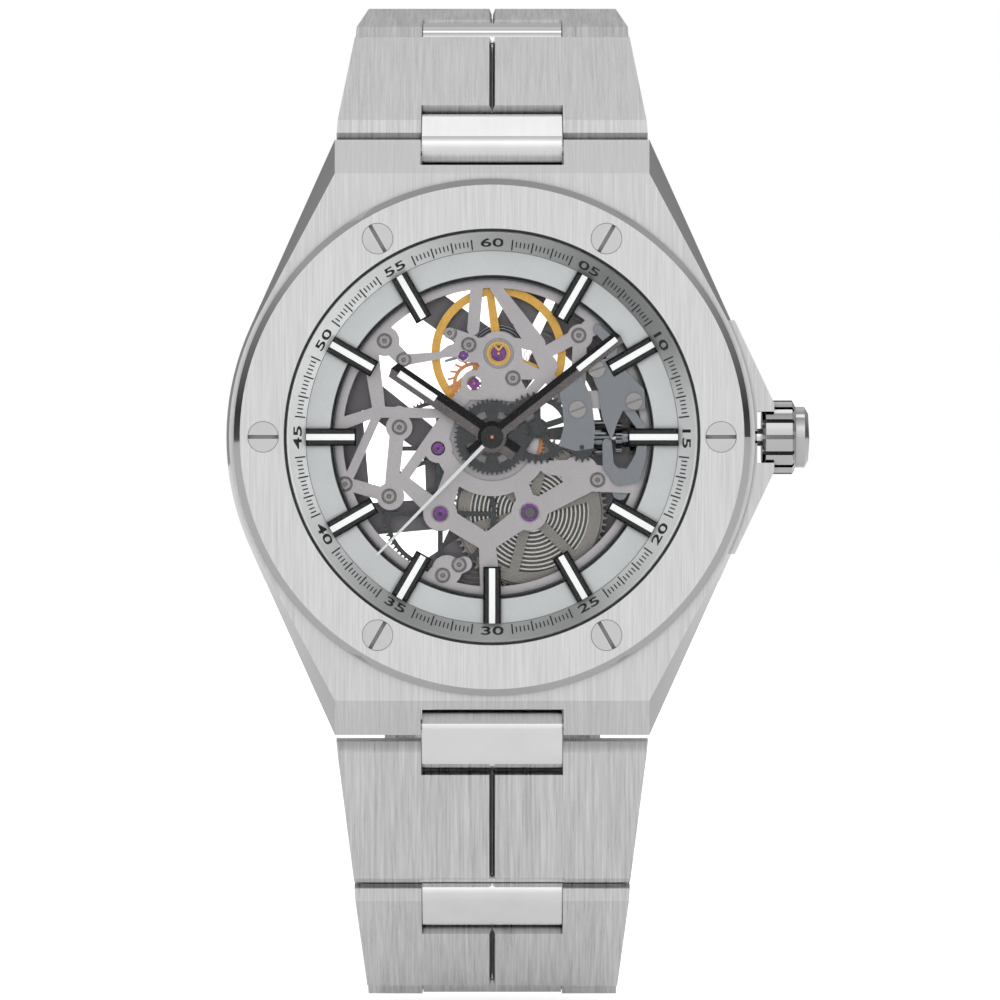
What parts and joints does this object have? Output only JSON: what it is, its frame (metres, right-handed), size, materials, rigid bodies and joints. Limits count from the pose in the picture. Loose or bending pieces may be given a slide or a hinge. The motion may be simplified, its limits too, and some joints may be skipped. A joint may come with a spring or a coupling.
{
  "type": "skeleton wristwatch",
  "caption": "Automatic skeleton wristwatch in steel with a round screwed bezel, an open-worked dial and an integrated tapering link bracelet closed by a folding clasp.",
  "frame": {"origin": "centre of the case back's outer face, on the axis of the hands", "axes": "+Z towards 12 o'clock, -Y out of the dial towards the wearer's eye, +X towards the crown"},
  "size_m": [0.0465, 0.0463, 0.0805],
  "materials": {
    "brushed_case": "vertical brushed 316L steel",
    "polished_steel": "mirror polished steel",
    "sapphire": "clear anti-reflection coated sapphire",
    "black_rubber": "nitrile rubber",
    "dark_steel": "dark polished steel",
    "silver_dial": "fine satin silver",
    "black_lacquer": "black nickel with white lume",
    "white_lacquer": "white lacquer",
    "blasted_plate": "sand-blasted rhodium-plated brass",
    "ruby": "polished synthetic ruby",
    "gilt_brass": "gilt brass",
    "barrel_steel": "circular brushed steel"
  },
  "bodies": {
    "case": {"case_body": "brushed_case", "bezel": "brushed_case", "bezel_screws": "polished_steel", "crystal": "sapphire", "caseback_ring": "brushed_case", "caseback_glass": "sapphire", "gaskets": "black_rubber", "bracelet_pins": "polished_steel", "dial_ring": "silver_dial", "minute_track": "silver_dial", "hour_markers": "black_lacquer", "main_plate": "blasted_plate", "movement_screws": "polished_steel", "train_bridge": "blasted_plate", "barrel_bridge": "blasted_plate", "balance_cock": "blasted_plate", "jewels": "ruby", "jewel_settings": "gilt_brass", "keyless_plates": "dark_steel", "rotor_bearing": "polished_steel"},
    "stem_pull": {"setting_lever": "dark_steel"},
    "stem_turn": {"crown": "polished_steel", "winding_stem": "polished_steel", "sliding_clutch": "dark_steel"},
    "winding_pinion_body": {"winding_pinion": "dark_steel"},
    "crown_wheel_body": {"crown_wheel": "dark_steel"},
    "ratchet_body": {"ratchet_wheel": "dark_steel"},
    "click_body": {"click": "dark_steel"},
    "barrel_body": {"barrel": "barrel_steel", "mainspring": "barrel_steel"},
    "great_body": {"great_wheel": "dark_steel"},
    "third_body": {"third_wheel": "dark_steel"},
    "seconds_body": {"seconds_wheel": "gilt_brass", "seconds_hand": "white_lacquer"},
    "escape_body": {"escape_wheel": "gilt_brass"},
    "pallet_body": {"pallet_fork": "dark_steel"},
    "balance_body": {"balance_wheel": "gilt_brass", "hairspring": "dark_steel"},
    "minute_body": {"cannon_pinion": "dark_steel", "minute_hand": "black_lacquer"},
    "minute_wheel_body": {"minute_wheel": "dark_steel"},
    "hour_body": {"hour_wheel": "dark_steel", "hour_hand": "black_lacquer"},
    "setting_body": {"setting_wheel": "dark_steel"},
    "rotor_body": {"rotor": "brushed_case"},
    "clasp_cover_body": {"clasp_cover": "brushed_case"},
    "clasp_long_body": {"clasp_long_blade": "polished_steel"},
    "clasp_short_body": {"clasp_short_blade": "polished_steel"},
    "upper_1": {"link_upper_1": "brushed_case", "connector_upper_1": "polished_steel"},
    "upper_2": {"link_upper_2": "brushed_case", "connector_upper_2": "polished_steel"},
    "upper_3": {"link_upper_3": "brushed_case"},
    "upper_4": {"link_upper_4": "brushed_case"},
    "lower_1": {"link_lower_1": "brushed_case", "connector_lower_1": "polished_steel"},
    "lower_2": {"link_lower_2": "brushed_case", "connector_lower_2": "polished_steel"},
    "lower_3": {"link_lower_3": "brushed_case"},
    "lower_4": {"link_lower_4": "brushed_case"}
  },
  "joints": [
    {"name": "crown_pull", "type": "slide", "parent": "case", "child": "stem_pull", "axis": [1, 0, 0], "range_m": [0, 0.0008]},
    {"name": "crown_turn", "type": "hinge", "parent": "stem_pull", "child": "stem_turn", "pos_m": [0.022, -0.0043, 0], "axis": [1, 0, 0], "continuous": true},
    {"name": "winding_pinion_turn", "type": "hinge", "parent": "case", "child": "winding_pinion_body", "pos_m": [0.0087, -0.0043, 0], "axis": [1, 0, 0], "continuous": true},
    {"name": "crown_wheel_turn", "type": "hinge", "parent": "case", "child": "crown_wheel_body", "pos_m": [0.0076, -0.0026, -0.0024], "axis": [0, 1, 0], "continuous": true},
    {"name": "ratchet_turn", "type": "hinge", "parent": "case", "child": "ratchet_body", "pos_m": [0.00298, -0.0026, -0.006], "axis": [0, 1, 0], "continuous": true},
    {"name": "click_swing", "type": "hinge", "parent": "case", "child": "click_body", "pos_m": [0.007, -0.0026, -0.0076], "axis": [0, 1, 0], "range_deg": [-8, 0]},
    {"name": "barrel_turn", "type": "hinge", "parent": "case", "child": "barrel_body", "pos_m": [0.00298, -0.0042, -0.006], "axis": [0, 1, 0], "continuous": true},
    {"name": "great_turn", "type": "hinge", "parent": "case", "child": "great_body", "pos_m": [-0.00413, -0.0049, -0.0061], "axis": [0, 1, 0], "continuous": true},
    {"name": "third_turn", "type": "hinge", "parent": "case", "child": "third_body", "pos_m": [-0.0043, -0.0052, -0.0009], "axis": [0, 1, 0], "continuous": true},
    {"name": "seconds_turn", "type": "hinge", "parent": "case", "child": "seconds_body", "pos_m": [0, -0.005, 0], "axis": [0, 1, 0], "continuous": true},
    {"name": "escape_turn", "type": "hinge", "parent": "case", "child": "escape_body", "pos_m": [-0.00143, -0.005, 0.00429], "axis": [0, 1, 0], "continuous": true},
    {"name": "pallet_swing", "type": "hinge", "parent": "case", "child": "pallet_body", "pos_m": [-0.0023, -0.005, 0.0065], "axis": [0, 1, 0], "range_deg": [-5, 5]},
    {"name": "balance_swing", "type": "hinge", "parent": "case", "child": "balance_body", "pos_m": [0.00052, -0.0042, 0.00667], "axis": [0, 1, 0], "range_deg": [-270, 270], "deforming": ["hairspring"]},
    {"name": "minute_turn", "type": "hinge", "parent": "case", "child": "minute_body", "pos_m": [0, -0.0064, 0], "axis": [0, 1, 0], "continuous": true},
    {"name": "minute_wheel_turn", "type": "hinge", "parent": "case", "child": "minute_wheel_body", "pos_m": [0.00362, -0.0064, 0.00073], "axis": [0, 1, 0], "continuous": true},
    {"name": "hour_turn", "type": "hinge", "parent": "case", "child": "hour_body", "pos_m": [0, -0.0066, 0], "axis": [0, 1, 0], "continuous": true},
    {"name": "setting_wheel_turn", "type": "hinge", "parent": "case", "child": "setting_body", "pos_m": [0.00715, -0.0064, -0.00081], "axis": [0, 1, 0], "continuous": true},
    {"name": "rotor_turn", "type": "hinge", "parent": "case", "child": "rotor_body", "pos_m": [0, -0.0018, 0], "axis": [0, 1, 0], "continuous": true},
    {"name": "bracelet_upper_1", "type": "hinge", "parent": "case", "child": "upper_1", "pos_m": [0, -0.0027, 0.02295], "axis": [1, 0, 0], "range_deg": [0, 48]},
    {"name": "bracelet_upper_2", "type": "hinge", "parent": "upper_1", "child": "upper_2", "pos_m": [0, 0.00692, 0.03161], "axis": [1, 0, 0], "range_deg": [0, 31]},
    {"name": "bracelet_upper_3", "type": "hinge", "parent": "upper_2", "child": "upper_3", "pos_m": [0, 0.01861, 0.03389], "axis": [1, 0, 0], "range_deg": [0, 43]},
    {"name": "bracelet_upper_4", "type": "hinge", "parent": "upper_3", "child": "upper_4", "pos_m": [0, 0.0287, 0.02758], "axis": [1, 0, 0], "range_deg": [0, 38]},
    {"name": "bracelet_lower_1", "type": "hinge", "parent": "case", "child": "lower_1", "pos_m": [0, -0.0027, -0.02295], "axis": [-1, 0, 0], "range_deg": [0, 15]},
    {"name": "bracelet_lower_2", "type": "hinge", "parent": "lower_1", "child": "lower_2", "pos_m": [0, 0.00065, -0.03546], "axis": [-1, 0, 0], "range_deg": [0, 32]},
    {"name": "bracelet_lower_3", "type": "hinge", "parent": "lower_2", "child": "lower_3", "pos_m": [0, 0.00936, -0.04358], "axis": [-1, 0, 0], "range_deg": [0, 45]},
    {"name": "bracelet_lower_4", "type": "hinge", "parent": "lower_3", "child": "lower_4", "pos_m": [0, 0.02125, -0.04316], "axis": [-1, 0, 0], "range_deg": [0, 45]},
    {"name": "clasp_cover_hinge", "type": "hinge", "parent": "upper_4", "child": "clasp_cover_body", "pos_m": [0, 0.03277, 0.0164], "axis": [1, 0, 0], "range_deg": [0, 23.83]},
    {"name": "clasp_long_blade_hinge", "type": "hinge", "parent": "clasp_cover_body", "child": "clasp_long_body", "pos_m": [0, 0.03058, -0.03139], "axis": [1, 0, 0], "range_deg": [0, 165]},
    {"name": "clasp_short_blade_hinge", "type": "hinge", "parent": "clasp_long_body", "child": "clasp_short_body", "pos_m": [0, 0.03235, 0.01283], "axis": [-1, 0, 0], "range_deg": [0, 165]}
  ],
  "couplings": [
    {"joint": "bracelet_upper_2", "follows": "bracelet_upper_1", "ratio": 0.64583},
    {"joint": "bracelet_upper_3", "follows": "bracelet_upper_1", "ratio": 0.89583},
    {"joint": "bracelet_upper_4", "follows": "bracelet_upper_1", "ratio": 0.79167},
    {"joint": "bracelet_lower_1", "follows": "bracelet_lower_4", "ratio": 0.33333},
    {"joint": "bracelet_lower_2", "follows": "bracelet_lower_4", "ratio": 0.71111},
    {"joint": "bracelet_lower_3", "follows": "bracelet_lower_4", "ratio": 1},
    {"joint": "clasp_cover_hinge", "follows": "bracelet_upper_1", "ratio": 0.49644},
    {"joint": "clasp_long_blade_hinge", "follows": "bracelet_upper_1", "ratio": 3.4375},
    {"joint": "clasp_short_blade_hinge", "follows": "bracelet_upper_1", "ratio": 3.4375},
    {"joint": "winding_pinion_turn", "follows": "crown_turn", "ratio": 1},
    {"joint": "crown_wheel_turn", "follows": "crown_turn", "ratio": -0.42424},
    {"joint": "ratchet_turn", "follows": "crown_turn", "ratio": 0.29167},
    {"joint": "third_turn", "follows": "seconds_turn", "ratio": -0.125},
    {"joint": "great_turn", "follows": "seconds_turn", "ratio": 0.016667},
    {"joint": "barrel_turn", "follows": "seconds_turn", "ratio": -0.0027778},
    {"joint": "escape_turn", "follows": "seconds_turn", "ratio": -12},
    {"joint": "minute_wheel_turn", "follows": "minute_turn", "ratio": -0.33333},
    {"joint": "hour_turn", "follows": "minute_turn", "ratio": 0.083333},
    {"joint": "setting_wheel_turn", "follows": "minute_turn", "ratio": 0.85714}
  ]
}
